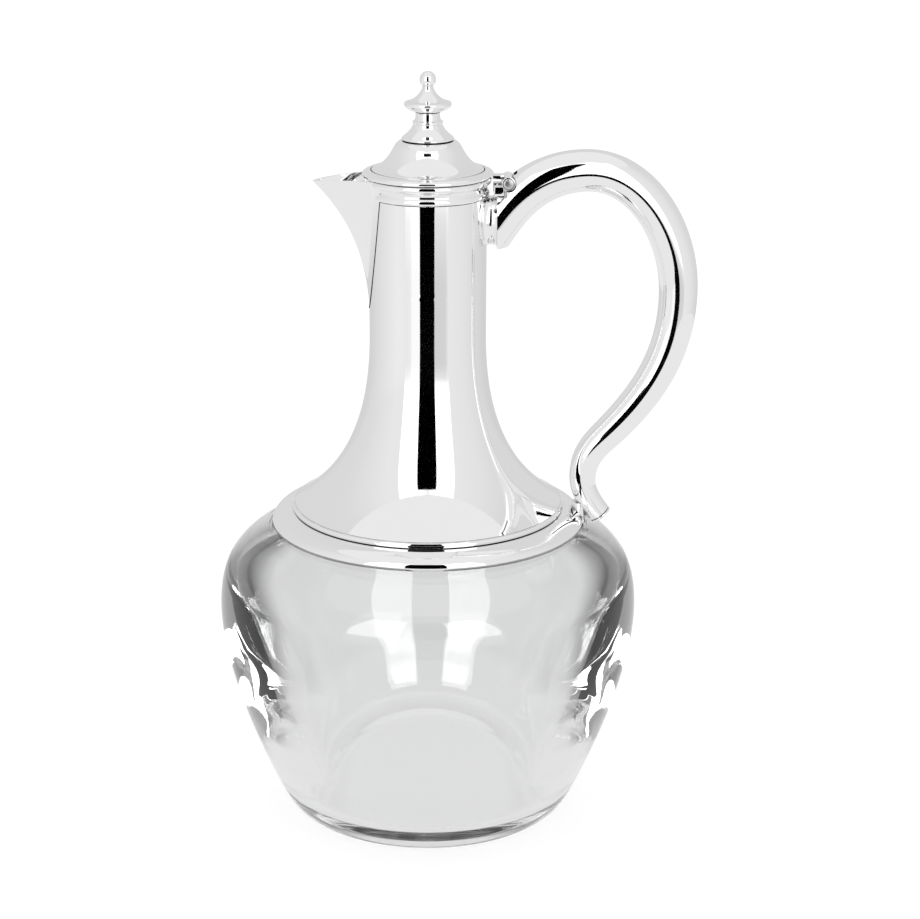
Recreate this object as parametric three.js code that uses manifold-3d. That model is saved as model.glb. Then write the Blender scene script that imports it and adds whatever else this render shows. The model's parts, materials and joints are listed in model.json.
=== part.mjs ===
// A silver-mounted glass jug (claret jug pattern): a clear glass body with a polished silver neck mount,
// a beak spout, a hollow scroll handle and a hinged lid with a turned finial.
// Millimetres. +Z is up, the origin is the centre of the base, the spout points to -X, the handle to +X.
import * as THREE from 'three';
import { mergeVertices } from 'three/addons/utils/BufferGeometryUtils.js';
import Module from 'manifold-3d';

const wasm = await Module();
wasm.setup();

// ---- driving dimensions ----
const gap = 0.3; // between pieces that touch
const sheet = 0.9; // silver sheet
const overallHeight = 270;
const baseRadius = 42;
const bellyRadius = 75.1;
const bellyHeight = 78;
const collarRadius = 55.8;
const collarHeight = 108.7;
const flareRadius = 47.5; // where the spun neck sleeve ends on the collar
const flareHeight = 116.4;
const neckRadius = 20.5;
const flareTop = 178; // the straight neck starts here
const rimHeight = 227; // top edge of the neck sleeve
const rimTop = 233.9; // top of the rim moulding
const mouldingRadius = 22.1;
const lidHeight = 234.2; // underside of the closed lid
const lidRadius = 22.8;
const spoutTip = new THREE.Vector2(-39.9, 232.3);
const spoutFoot = 187; // height where the spout leaves the neck
const glassNeckRadius = 18.2;
const glassNeckTop = 185;
const floorTop = 9.5; // upper face of the thick glass bottom
const hingeX = 27.8;
const hingeZ = 232;
const knuckleRadius = 2.4;
const pinRadius = 0.9;
const leafHalfWidth = 2.2; // of the lid's own knuckle and leaf
const leafTop = hingeZ + knuckleRadius;
const leafThickness = 1.4;
const barrelStart = leafHalfWidth + gap; // the fixed knuckles stand either side of the lid's
const barrelEnd = 5.6;
const pinHalfLength = 6.1;
const leafSlot = 3.05; // room behind the hinge line for the leaf of the open lid
const handleCutX = 23.9; // flat upper end of the handle tube
const socketBottom = 209.4;
const socketTop = 227.4;
const handleWall = 1.2;
const handleUndercutX = 30; // the tube's lower corner is cut back to here below the socket
const capThickness = 0.9;
const hollowFromX = 34; // the tube is solid from its upper end to here
const bandThickness = 1;
const wide = 20; // half the width of the cutting blocks
const cutterBottom = 180;
const cutterTop = 250;
const largeSides = 40;
const smallSides = 24;

// ---- finishes ----
const silver = { color: 0xe6e6e3, roughness: 0.08, metalness: 1 };
const glass = { color: 0xf4f7f6, roughness: 0.02, metalness: 0, transparent: true, opacity: 0.35 };
const plaster = { color: 0xdad6cb, roughness: 0.9, metalness: 0 };
const rubber = { color: 0xc4c2bc, roughness: 0.6, metalness: 0 };
const steel = { color: 0xb9bbbd, roughness: 0.3, metalness: 1 };

// ---- helpers ----
const point = (x, y) => new THREE.Vector2(x, y);

// Points along a cubic curve through plan or profile space; the first point is left out on request.
function bezier(a, b, c, d, steps, skipFirst = false) {
  const curve = new THREE.CubicBezierCurve(point(...a), point(...b), point(...c), point(...d));
  return curve.getPoints(steps).slice(skipFirst ? 1 : 0);
}

// A line moved sideways: positive is to the right of its direction.
function offset(line, distance) {
  return line.map((here, index) => {
    const before = line[Math.max(index - 1, 0)];
    const after = line[Math.min(index + 1, line.length - 1)];
    const along = after.clone().sub(before).normalize();
    return point(here.x + along.y * distance, here.y - along.x * distance);
  });
}

// A closed outline of (radius, height) turned about Z.
function turned(outline, sides) {
  const closed = outline.concat([outline[0].clone()]);
  const onAxis = outline[0].x === 0;
  const profile = THREE.ShapeUtils.area(outline) < 0 ? closed.reverse() : closed;
  const geometry = new THREE.LatheGeometry(onAxis ? openAtAxis(profile) : profile, sides);
  return geometry.rotateX(Math.PI / 2);
}

// The same outline without the stretch that runs along the axis.
function openAtAxis(profile) {
  const kept = profile.slice(0, -1);
  const start = kept.findIndex((p, i) => p.x === 0 && kept[(i + 1) % kept.length].x > 0);
  return kept.slice(start).concat(kept.slice(0, start));
}

// A skin through rings of equal length, closed by a cap at each end.
function loft(rings) {
  const count = rings[0].length;
  const vertices = rings.flat().flatMap((p) => [p.x, p.y, p.z]);
  const indices = [];
  for (let ring = 0; ring + 1 < rings.length; ring++) {
    for (let i = 0; i < count; i++) {
      const a = ring * count + i;
      const b = ring * count + ((i + 1) % count);
      indices.push(a, b, b + count, a, b + count, a + count);
    }
  }
  const last = (rings.length - 1) * count;
  for (const [a, b, c] of capTriangles(rings[0])) {
    indices.push(c, b, a);
    indices.push(last + a, last + b, last + c);
  }
  const geometry = new THREE.BufferGeometry();
  geometry.setAttribute('position', new THREE.Float32BufferAttribute(vertices, 3));
  geometry.setIndex(indices);
  return geometry;
}

// A fan over a ring, flattened on the plane where it is widest.
function capTriangles(ring) {
  const normal = new THREE.Vector3();
  ring.forEach((p, i) => normal.add(p.clone().cross(ring[(i + 1) % ring.length])));
  const turn = new THREE.Quaternion().setFromUnitVectors(normal.normalize(), new THREE.Vector3(0, 0, 1));
  const flat = ring.map((p) => p.clone().applyQuaternion(turn));
  return THREE.ShapeUtils.triangulateShape(flat.map((p) => point(p.x, p.y)), []);
}

function solid(geometry) {
  const bare = new THREE.BufferGeometry();
  bare.setAttribute('position', geometry.getAttribute('position'));
  bare.setIndex(geometry.getIndex());
  const welded = mergeVertices(bare, 1e-4);
  const triVerts = new Uint32Array(welded.index.array);
  const vertProperties = welded.attributes.position.array;
  const made = new wasm.Manifold(new wasm.Mesh({ numProp: 3, vertProperties, triVerts }));
  return made.volume() < 0 ? solid(flipped(welded)) : made;
}

function flipped(geometry) {
  const index = geometry.getIndex().array;
  for (let i = 0; i < index.length; i += 3) {
    [index[i], index[i + 1]] = [index[i + 1], index[i]];
  }
  return geometry;
}

// The largest body of a solid, as a geometry, without the slivers that a cut leaves.
function geometryOf(shape) {
  const bodies = shape.decompose().sort((a, b) => b.volume() - a.volume());
  const mesh = bodies[0].simplify(0.01).getMesh();
  const geometry = new THREE.BufferGeometry();
  geometry.setAttribute('position', new THREE.BufferAttribute(new Float32Array(mesh.vertProperties), 3));
  geometry.setIndex(new THREE.BufferAttribute(new Uint32Array(mesh.triVerts), 1));
  return geometry;
}

function cylinder(radius, bottom, top, sides = smallSides) {
  const geometry = new THREE.CylinderGeometry(radius, radius, top - bottom, sides);
  return geometry.rotateX(Math.PI / 2).translate(0, 0, (top + bottom) / 2);
}

// A cylinder along Y about the hinge line.
function hingeCylinder(radius, from, to, sides = smallSides) {
  const geometry = new THREE.CylinderGeometry(radius, radius, to - from, sides);
  return geometry.translate(0, (to + from) / 2, 0).translate(hingeX, 0, hingeZ);
}

function box(low, high) {
  const size = high.map((value, i) => value - low[i]);
  const middle = high.map((value, i) => (value + low[i]) / 2);
  return new THREE.BoxGeometry(...size).translate(...middle);
}

// ---- glass body ----
const shoulder = bezier([bellyRadius, bellyHeight], [bellyRadius, 93], [70.5, 101.4], [55.7, 107.5], 8, true);
const hiddenShoulder = bezier([55.7, 107.5], [42, 113.7], [19.5, 124], [glassNeckRadius, 150], 8, true);

function glassBody() {
  const lip = 1.4;
  const bore = glassNeckRadius - 2 * lip;
  const outside = [
    point(0, 0),
    ...bezier([baseRadius, 0], [47.6, 0], [50.6, 2.6], [53.4, 7], 5),
    ...bezier([53.4, 7], [61.5, 23], [bellyRadius, 56], [bellyRadius, bellyHeight], 8, true),
    ...shoulder,
    ...hiddenShoulder,
    ...bezier(
      [glassNeckRadius, glassNeckTop - lip],
      [glassNeckRadius, glassNeckTop + lip / 3],
      [bore, glassNeckTop + lip / 3],
      [bore, glassNeckTop - lip],
      4,
    ),
  ];
  const inside = [
    ...bezier([bore, 150], [bore, 128], [36, 112.5], [53, 103.4], 6),
    ...bezier([53, 103.4], [62.5, 98.2], [69.2, 94.5], [69.2, 86], 5, true),
    ...bezier([69.2, 86], [69.2, 71], [61, 50], [50, 27], 7, true),
    ...bezier([50, 27], [45.2, 17], [43.2, floorTop], [36, floorTop], 5, true),
    point(0, floorTop),
  ];
  return turned(outside.concat(inside), largeSides);
}

// ---- neck sleeve, spun in one with its flared shoulder ----
const flare = bezier([flareRadius, flareHeight], [28, 129], [neckRadius, 150], [neckRadius, flareTop], 9);
const flareInside = offset(flare, -sheet);

function sleeveOutline() {
  const edge = [point(47.2, 115.3), point(48.2, 115.2), point(48.6, 115.7), point(48.3, 116.2)];
  const topEdge = [point(neckRadius, rimHeight), point(neckRadius - sheet, rimHeight)];
  return [...edge, ...flare, ...topEdge, ...flareInside.slice().reverse()];
}

// ---- spout ----
// One level of the spout, as a ring: out from the neck along one cheek, round the nose and back.
// inset draws it inwards for the hollow, back is how far the ring reaches into the neck.
function spoutLevel(progress, inset, back, lift) {
  const nose = new THREE.CubicBezierCurve(
    point(-20.4, spoutFoot),
    point(-21.6, 203),
    point(-25.2, 217.5),
    spoutTip,
  ).getPoint(progress);
  const rise = (nose.y - spoutFoot) / (spoutTip.y - spoutFoot);
  const seamHeight = THREE.MathUtils.lerp(spoutFoot, rimTop - 0.2, rise);
  const halfAngle = THREE.MathUtils.degToRad(40 * Math.max(rise, 0.01) ** 0.45);
  const seamY = Math.max(neckRadius * Math.sin(halfAngle) - inset * 1.3, 0.4);
  const seamX = -Math.sqrt(neckRadius ** 2 - seamY ** 2) + inset;
  const noseX = nose.x + inset * 1.25;
  const depth = seamX - noseX;
  const cheek = bezier(
    [seamX, seamY],
    [seamX - 0.25 * depth, 0.63 * seamY],
    [noseX + 0.05 * depth, 0.34 * seamY],
    [noseX, 0],
    8,
  );
  const half = [point(-back, seamY), ...cheek];
  const mirrored = half.slice(0, -1).reverse();
  const heightAt = (x) => {
    const along = THREE.MathUtils.clamp((x - seamX) / (noseX - seamX), 0, 1);
    return THREE.MathUtils.lerp(seamHeight, nose.y, along ** 2.5) + lift;
  };
  return [
    ...half.map((p) => new THREE.Vector3(p.x, p.y, heightAt(p.x))),
    ...mirrored.map((p) => new THREE.Vector3(p.x, -p.y, heightAt(p.x))),
  ];
}

function spoutBlock(inset, back) {
  const levels = 9;
  const start = inset > 0 ? 0.16 : 0.04;
  const rings = [];
  for (let level = 0; level <= levels; level++) {
    rings.push(spoutLevel(THREE.MathUtils.lerp(start, 1, level / levels), inset, back, 0));
  }
  if (inset > 0) {
    rings.push(spoutLevel(1, inset, back, 4));
  }
  return solid(loft(rings));
}

const spoutHollow = spoutBlock(sheet, 12);
const spoutOutside = spoutBlock(0, 15);
const neckColumn = solid(cylinder(neckRadius + gap, spoutFoot - 20, overallHeight, largeSides));

function spout() {
  const shell = spoutOutside.subtract(spoutHollow).subtract(neckColumn);
  return geometryOf(shell);
}

function neckSleeve() {
  return geometryOf(solid(turned(sleeveOutline(), largeSides)).subtract(spoutHollow));
}

// ---- rim moulding: two beads with a hollow between, open at the spout ----
function rimMoulding() {
  const bottom = rimHeight + gap;
  const inner = neckRadius - sheet;
  const outline = [
    point(inner, bottom),
    point(20.8, bottom),
    point(21.2, bottom + 0.8),
    point(21.15, bottom + 1.8),
    point(20.75, bottom + 2.6),
    point(20.8, bottom + 3.7),
    point(21.4, bottom + 4.5),
    point(22, bottom + 5.1),
    point(mouldingRadius, bottom + 5.7),
    point(22, bottom + 6.2),
    point(21.6, rimTop),
    point(inner, rimTop),
  ];
  const reach = spoutBlock(-2 * gap, 12);
  const above = spoutLevel(1, -2 * gap, 12, 0);
  const top = loft([above, above.map((p) => p.clone().setZ(p.z + 6))]);
  return geometryOf(solid(turned(outline, largeSides)).subtract(reach).subtract(solid(top)));
}

// ---- collar band under the flare ----
const band = bezier([collarRadius, collarHeight + 1.2], [55.5, 112.2], [51.8, 113.7], [46.6, 114.6], 5);

function collarBand() {
  const outside = [point(collarRadius - 0.2, collarHeight), ...band];
  return turned(outside.concat(offset(outside, -bandThickness).reverse()), largeSides);
}

// ---- cement between glass and silver ----
function shoulderCement() {
  const underSilver = offset(flareInside, -gap).filter((p) => p.y < 152 && p.x < 44);
  const underBand = offset(band, -bandThickness - gap).filter((p) => p.x < 54.6);
  const onGlass = offset(hiddenShoulder, gap).filter((p) => p.x < 54);
  const outside = [...underBand, ...underSilver];
  const top = outside[outside.length - 1].y;
  return turned([...outside, point(glassNeckRadius + gap, top), ...onGlass.reverse()], largeSides);
}

function neckSeal() {
  const inner = glassNeckRadius + gap;
  const outer = neckRadius - sheet - gap;
  return turned([point(inner, 172), point(outer, 172), point(outer, 182), point(inner, 182)], largeSides);
}

// ---- handle: a hollow tapering tube along a scroll in the XZ plane ----
const handlePath = new THREE.CurvePath();
const handleTurns = [
  [[20.9, 212.8], [23.7, 217.1], [31.3, 228.8], [41.7, 235.9], [55.7, 235.9]],
  [[55.7, 235.9], [73.4, 235.9], [87.8, 215], [87.8, 193]],
  [[87.8, 193], [87.8, 169], [77, 153.4], [60.8, 137.8]],
  [[60.8, 137.8], [57, 133.7], [55.3, 129.5], [55.3, 124]],
  [[55.3, 124], [55.3, 119.5], [58.4, 115], [61.75, 111.1]],
];
const handleRadii = [8.1, 7.25, 6.8, 5.75, 4.5, 4.1];
const handleSteps = [9, 8, 7, 4, 4];

function handlePoint([x, z]) {
  return new THREE.Vector3(x, 0, z);
}

// Centre, direction and radius at each step of the handle.
function handleStations() {
  const stations = [];
  handleTurns.forEach((turn, section) => {
    const corners = turn.slice(-4).map(handlePoint);
    const curve = new THREE.CubicBezierCurve3(...corners);
    for (let step = section ? 1 : 0; step <= handleSteps[section]; step++) {
      const part = step / handleSteps[section];
      stations.push({
        centre: curve.getPoint(part),
        along: curve.getTangent(part),
        radius: THREE.MathUtils.lerp(handleRadii[section], handleRadii[section + 1], part),
      });
    }
  });
  const first = stations[0];
  const lead = { ...first, centre: first.centre.clone().addScaledVector(first.along, -14) };
  return [lead, ...stations];
}

function handleRings(shrink, lengthen) {
  const sides = 14;
  const across = new THREE.Vector3(0, 1, 0);
  const stations = handleStations();
  const last = stations[stations.length - 1];
  if (lengthen) {
    stations.push({ ...last, centre: last.centre.clone().addScaledVector(last.along, lengthen) });
  }
  return stations.map(({ centre, along, radius }) => {
    const up = along.clone().cross(across).normalize();
    return Array.from({ length: sides }, (_, side) => {
      const angle = ((side + 0.5) / sides) * 2 * Math.PI;
      return centre
        .clone()
        .addScaledVector(across, Math.cos(angle) * (radius - shrink))
        .addScaledVector(up, Math.sin(angle) * (radius - shrink));
    });
  });
}

function handleTube() {
  const outer = solid(loft(handleRings(0, 0)));
  const solidEnd = solid(box([-wide, -wide, cutterBottom], [hollowFromX, wide, cutterTop]));
  const inner = solid(loft(handleRings(handleWall, 3))).subtract(solidEnd);
  const slot = leafHalfWidth + gap;
  const cuts = [
    box([-wide, -wide, cutterBottom], [handleCutX, wide, cutterTop]),
    box([-wide, -wide, cutterBottom], [handleUndercutX, wide, socketBottom]),
    box([-wide, -wide, socketTop], [hingeX - 2 * gap, wide, cutterTop]),
    hingeCylinder(knuckleRadius + gap, -wide, wide),
    box([0, -slot, hingeZ], [hingeX + leafSlot, slot, cutterTop]),
  ];
  return geometryOf(cuts.reduce((tube, cut) => tube.subtract(solid(cut)), outer.subtract(inner)));
}

// A plate soldered over the open lower end of the tube.
function handleEndCap() {
  const stations = handleStations();
  const end = stations[stations.length - 1];
  const geometry = new THREE.CylinderGeometry(end.radius, end.radius, capThickness, smallSides);
  const turn = new THREE.Quaternion().setFromUnitVectors(new THREE.Vector3(0, 1, 0), end.along);
  const centre = end.centre.clone().addScaledVector(end.along, gap + capThickness / 2);
  return geometry.applyQuaternion(turn).translate(centre.x, centre.y, centre.z);
}

// An oval boss from the neck to the flat end of the tube.
function handleSocket() {
  const halfWidth = 7.4;
  const length = 12;
  const boss = new THREE.CylinderGeometry(1, 1, length, smallSides);
  boss.rotateZ(Math.PI / 2).scale(1, halfWidth, (socketTop - socketBottom) / 2);
  boss.translate(handleCutX - gap - length / 2, 0, (socketTop + socketBottom) / 2);
  const column = solid(cylinder(neckRadius + gap, cutterBottom, cutterTop, largeSides));
  const moulding = solid(cylinder(mouldingRadius + gap, rimHeight, cutterTop, largeSides));
  return geometryOf(solid(boss).subtract(column).subtract(moulding));
}

// A pad between the collar band and the underside of the tube.
function handleFootPad() {
  const pad = new THREE.CylinderGeometry(1, 1, 12, smallSides);
  pad.rotateX(Math.PI / 2).scale(3.4, 3.2, 1);
  pad.rotateY(Math.PI / 5).translate(55.2, 0, 112.6);
  const bandTop = offset(band, gap);
  const under = [point(30, 100), point(collarRadius + gap, 100), ...bandTop, point(30, bandTop.at(-1).y)];
  const tube = solid(loft(handleRings(-gap, 0)));
  return geometryOf(solid(pad).subtract(solid(turned(under, 2 * largeSides))).subtract(tube));
}

// ---- lid ----
function lidRim() {
  return turned(
    [
      point(19.8, lidHeight),
      point(22.2, lidHeight),
      point(22.7, lidHeight + 0.3),
      point(lidRadius, lidHeight + 0.8),
      point(22.5, lidHeight + 1.25),
      point(21.6, lidHeight + 1.7),
      point(20.6, lidHeight + 2),
      point(19.8, lidHeight + 2.1),
    ],
    largeSides,
  );
}

const domeTop = 246.4;

function lidDome() {
  const outside = [
    point(19.5, lidHeight),
    point(19.5, lidHeight + 2.3),
    ...bezier([19.3, lidHeight + 2.3], [16.2, 237.5], [14.1, 239.8], [12.4, 242.8], 6),
    ...bezier([12.4, 242.8], [11.3, 245], [10.6, 246.2], [8.6, domeTop], 3, true),
  ];
  const inside = [
    point(2.1, domeTop - 0.9),
    point(8.5, domeTop - 1),
    ...bezier([11.4, 242.6], [13, 239.6], [15.4, 236.6], [18.4, lidHeight + 1.5], 5),
    point(18.4, lidHeight),
  ];
  return turned([...outside, point(2.1, domeTop), ...inside], smallSides);
}

function lidBezel() {
  const low = lidHeight - 5;
  const high = lidHeight + 1.5;
  return turned([point(17.2, low), point(18.1, low), point(18.1, high), point(17.2, high)], largeSides);
}

function lidHingeKnuckle() {
  const barrel = solid(hingeCylinder(knuckleRadius, -leafHalfWidth, leafHalfWidth));
  const leafStart = mouldingRadius + gap;
  const leaf = solid(box([leafStart, -leafHalfWidth, leafTop - leafThickness], [hingeX, leafHalfWidth, leafTop]));
  const rimSpace = solid(cylinder(lidRadius + gap, lidHeight - gap, lidHeight + 4, largeSides));
  const bore = solid(hingeCylinder(pinRadius + gap, -barrelEnd, barrelEnd));
  return geometryOf(barrel.add(leaf).subtract(rimSpace).subtract(bore));
}

// ---- finial ----
const studRadius = 1.6;
const studBottom = 241.8;
const washerThickness = 0.6;
const nutHeight = 2;
const domeSheet = 0.9;
const pedestalTop = 256;

function finialPedestal() {
  const bottom = domeTop + gap;
  return turned(
    [
      point(studRadius + gap, bottom),
      point(9.1, bottom),
      point(8.9, bottom + 0.6),
      ...bezier([8.3, 247.8], [6.9, 248.9], [5.6, 250.3], [5, 252], 5),
      point(5.2, 252.6),
      point(4.7, 253.2),
      point(4.2, 254.4),
      point(4.3, pedestalTop),
      point(studRadius + gap, pedestalTop),
    ],
    smallSides,
  );
}

function finial() {
  const bottom = pedestalTop + gap;
  const ballRadius = 2.85;
  const ballCentre = overallHeight - ballRadius;
  const ball = Array.from({ length: 7 }, (_, step) => {
    const angle = THREE.MathUtils.degToRad(THREE.MathUtils.lerp(-50, 90, step / 6));
    return point(step === 6 ? 0 : ballRadius * Math.cos(angle), ballCentre + ballRadius * Math.sin(angle));
  });
  return turned(
    [
      point(0, studBottom),
      point(studRadius, studBottom),
      point(studRadius, bottom),
      point(4.4, bottom),
      point(6.9, 257.2),
      point(7.9, 258.1),
      point(8.2, 259),
      point(7.8, 259.5),
      ...bezier([6.2, 260], [4.2, 260.9], [2.8, 262.3], [1.95, 264.3], 4),
      ...ball,
    ],
    smallSides,
  );
}

function ringUnder(outer, top, thickness, sides) {
  const inner = studRadius + gap;
  const low = top - thickness;
  return turned([point(inner, low), point(outer, low), point(outer, top), point(inner, top)], sides);
}

// ---- hinge knuckles fixed in the scalloped end of the handle ----
function fixedKnuckle(from, to) {
  const barrel = solid(hingeCylinder(knuckleRadius, from, to));
  return geometryOf(barrel.subtract(solid(hingeCylinder(pinRadius + gap, from - 1, to + 1))));
}

// ---- assembly ----
const group = new THREE.Group();

function add(name, geometry, finish) {
  const mesh = new THREE.Mesh(geometry, new THREE.MeshStandardMaterial(finish));
  mesh.name = name;
  group.add(mesh);
}

add('glass_body', glassBody(), glass);
add('shoulder_cement', shoulderCement(), plaster);
add('neck_seal', neckSeal(), rubber);
add('neck_sleeve', neckSleeve(), silver);
add('collar_band', collarBand(), silver);
add('rim_moulding', rimMoulding(), silver);
add('spout', spout(), silver);
add('handle_tube', handleTube(), silver);
add('handle_end_cap', handleEndCap(), silver);
add('handle_socket', handleSocket(), silver);
add('handle_foot_pad', handleFootPad(), silver);
add('hinge_knuckle_front', fixedKnuckle(-barrelEnd, -barrelStart), silver);
add('hinge_knuckle_back', fixedKnuckle(barrelStart, barrelEnd), silver);
add('hinge_pin', hingeCylinder(pinRadius, -pinHalfLength, pinHalfLength), steel);
add('lid_rim', lidRim(), silver);
add('lid_dome', lidDome(), silver);
add('lid_bezel', lidBezel(), silver);
add('lid_hinge_knuckle', lidHingeKnuckle(), silver);
add('finial_pedestal', finialPedestal(), silver);
add('finial', finial(), silver);
const underDome = domeTop - domeSheet - gap;
add('finial_washer', ringUnder(4, underDome, washerThickness, smallSides), steel);
add('finial_nut', ringUnder(3.2, underDome - washerThickness - gap, nutHeight, 6), steel);

export default group;
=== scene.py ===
# A silver-mounted glass jug: clear glass body, polished silver neck mount, beak spout, scroll handle
# and hinged lid with a turned finial. Profiles are in millimetres, the scene is in metres, +Z is up.
import json
import math

import bmesh
import bpy
import numpy as np
from mathutils import Matrix, Vector


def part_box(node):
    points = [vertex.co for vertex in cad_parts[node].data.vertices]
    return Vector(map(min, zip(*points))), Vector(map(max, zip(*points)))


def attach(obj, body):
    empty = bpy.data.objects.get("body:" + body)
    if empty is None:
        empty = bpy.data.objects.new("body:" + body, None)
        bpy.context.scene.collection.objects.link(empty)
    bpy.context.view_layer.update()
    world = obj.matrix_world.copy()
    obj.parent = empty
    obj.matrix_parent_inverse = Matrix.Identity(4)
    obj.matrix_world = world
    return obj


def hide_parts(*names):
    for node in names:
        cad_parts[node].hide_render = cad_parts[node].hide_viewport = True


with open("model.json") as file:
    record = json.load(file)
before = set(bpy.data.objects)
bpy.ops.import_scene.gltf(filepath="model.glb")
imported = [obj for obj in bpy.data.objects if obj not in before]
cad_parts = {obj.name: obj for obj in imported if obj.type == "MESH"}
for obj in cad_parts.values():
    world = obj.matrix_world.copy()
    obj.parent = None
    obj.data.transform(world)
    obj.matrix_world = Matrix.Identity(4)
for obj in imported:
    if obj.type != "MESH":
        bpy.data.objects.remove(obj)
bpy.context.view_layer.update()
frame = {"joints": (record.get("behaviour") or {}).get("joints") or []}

MM = 0.001

# ---- driving dimensions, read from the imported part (millimetres) ----


def low(node, axis):
    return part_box(node)[0]["xyz".index(axis)] / MM


def high(node, axis):
    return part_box(node)[1]["xyz".index(axis)] / MM


BELLY_RADIUS = high("glass_body", "x")
GLASS_NECK_TOP = high("glass_body", "z")
COLLAR_RADIUS = high("collar_band", "x")
COLLAR_HEIGHT = low("collar_band", "z")
BAND_TOP = high("collar_band", "z")
RIM_HEIGHT = high("neck_sleeve", "z")
RIM_TOP = high("rim_moulding", "z")
MOULDING_RADIUS = high("rim_moulding", "x")
LID_HEIGHT = low("lid_rim", "z")
LID_RADIUS = high("lid_rim", "x")
DOME_TOP = high("lid_dome", "z")
PEDESTAL_TOP = high("finial_pedestal", "z")
FINIAL_TOP = high("finial", "z")
TIP_X = low("spout", "x")
HANDLE_CUT_X = low("handle_tube", "x")
SOCKET_BOTTOM = low("handle_socket", "z")
SOCKET_TOP = high("handle_socket", "z")
KNUCKLE_RADIUS = (high("hinge_knuckle_front", "z") - low("hinge_knuckle_front", "z")) / 2
HINGE_X, _, HINGE_Z = (value / MM for value in frame["joints"][0]["pos_m"])

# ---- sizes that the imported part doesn't state, as in its source (millimetres) ----
GAP = 0.3  # between pieces that touch
SHEET = 0.9  # silver sheet
NECK_RADIUS = 20.5
FLARE_RADIUS = 47.5
FLARE_HEIGHT = COLLAR_HEIGHT + 7.7
FLARE_TOP = 178
GLASS_NECK_RADIUS = 18.2
SPOUT_FOOT = 187
SPOUT_HALF_ANGLE = 40
SEAM_STEP = 0.22  # the spout's edge stands this far off the neck
TIP_Z = RIM_TOP - 1.6
PIN_RADIUS = 0.9
LEAF_HALF_WIDTH = 2.2
LEAF_THICKNESS = 1.4
LEAF_SLOT = 3.05  # room behind the hinge line for the leaf of the open lid
UNDERCUT_X = 30  # the handle's lower corner is cut back to here below the socket
STUD_RADIUS = 1.6
BAND_THICKNESS = 1
FLOOR_TOP = 9.5  # upper face of the thick glass bottom
FOOT_HOLLOW = 0.5  # the ground base is very slightly hollow
DOME_SHEET = 0.9
FINE = 0.18  # radius of a crisp edge
SOFT = 0.45  # radius of a polished-down edge
SEGMENTS = 160
FINE_SEGMENTS = 192  # for the widest and the most mirror-like rings


def add_object(name, data):
    """An object of the scene that shows a mesh or holds a camera."""
    made = bpy.data.objects.new(name, data)
    bpy.context.scene.collection.objects.link(made)
    return made


# ---- camera ----
def make_camera():
    """The photograph's view: a long lens from the front, looking down on the jug."""
    tilt_down = 17.56
    camera = add_object("camera", bpy.data.cameras.new("camera"))
    camera.location = (0, -0.8196, 0.3905)
    camera.rotation_euler = (math.radians(90 - tilt_down), 0, 0)
    camera.data.lens = 93.91
    camera.data.sensor_width = 36
    camera.data.shift_x = 0.035
    camera.data.clip_start = 0.01
    bpy.context.scene.camera = camera


make_camera()


# ---- outlines: arrays of (x, y) points in millimetres ----
def on_curve(a, b, c, d, t):
    """The point of a cubic curve at a share t of its way, or a row of points for a column of shares."""
    a, b, c, d = (np.array(corner, float) for corner in (a, b, c, d))
    return (1 - t) ** 3 * a + 3 * (1 - t) ** 2 * t * b + 3 * (1 - t) * t**2 * c + t**3 * d


def bezier(a, b, c, d, steps):
    """Points along a cubic curve, both ends included."""
    return on_curve(a, b, c, d, np.linspace(0, 1, steps + 1)[:, None])


def outline(*stretches):
    """One outline from points and curves laid end to end, without doubled points."""
    points = np.vstack([np.atleast_2d(np.array(stretch, float)) for stretch in stretches])
    steps = np.linalg.norm(np.diff(points, axis=0), axis=1)
    return points[np.concatenate([[True], steps > 1e-6])]


def offset(line, distance):
    """A line moved sideways: positive is to the right of its direction."""
    along = np.gradient(line, axis=0)
    along /= np.linalg.norm(along, axis=1)[:, None]
    return line + distance * np.stack([along[:, 1], -along[:, 0]], axis=1)


def rounded(points, radius, steps=4):
    """A closed outline whose corners off the axis become small arcs."""
    sharpest = math.radians(18)
    result = []
    for index, here in enumerate(points):
        back = points[index - 1] - here
        ahead = points[(index + 1) % len(points)] - here
        back_length = np.linalg.norm(back)
        ahead_length = np.linalg.norm(ahead)
        cosine = np.dot(-back, ahead) / (back_length * ahead_length)
        turn = math.acos(max(-1.0, min(1.0, cosine)))
        if turn < sharpest or here[0] == 0:
            result.append(here)
            continue
        reach = min(radius * math.tan(turn / 2), 0.45 * back_length, 0.45 * ahead_length)
        start = here + back / back_length * reach
        end = here + ahead / ahead_length * reach
        for t in np.linspace(0, 1, steps + 1):
            result.append((1 - t) ** 2 * start + 2 * t * (1 - t) * here + t**2 * end)
    return np.array(result)


# ---- meshes ----
def quads(rows, columns, close_rows=False, close_columns=False, start=0):
    """Faces of a grid of vertices stored row by row."""
    faces = []
    for row in range(rows if close_rows else rows - 1):
        for column in range(columns if close_columns else columns - 1):
            here = start + row * columns
            above = start + (row + 1) % rows * columns
            beside = (column + 1) % columns
            faces.append((here + column, here + beside, above + beside, above + column))
    return faces


def mesh_object(name, vertices, faces):
    """An object from vertices in millimetres, welded, with its faces out and crisp edges kept."""
    mesh = bpy.data.meshes.new(name)
    mesh.from_pydata((np.asarray(vertices, float).reshape(-1, 3) * MM).tolist(), [], faces)
    body = bmesh.new()
    body.from_mesh(mesh)
    bmesh.ops.remove_doubles(body, verts=body.verts, dist=0.002 * MM)
    bmesh.ops.recalc_face_normals(body, faces=body.faces)
    body.to_mesh(mesh)
    body.free()
    made = add_object(name, mesh)
    smooth(made)
    return made


def smooth(made, crisp=35):
    """Smooth shading, with edges sharper than this many degrees kept."""
    made.data.shade_smooth()
    made.data.set_sharp_from_angle(angle=math.radians(crisp))


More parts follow.
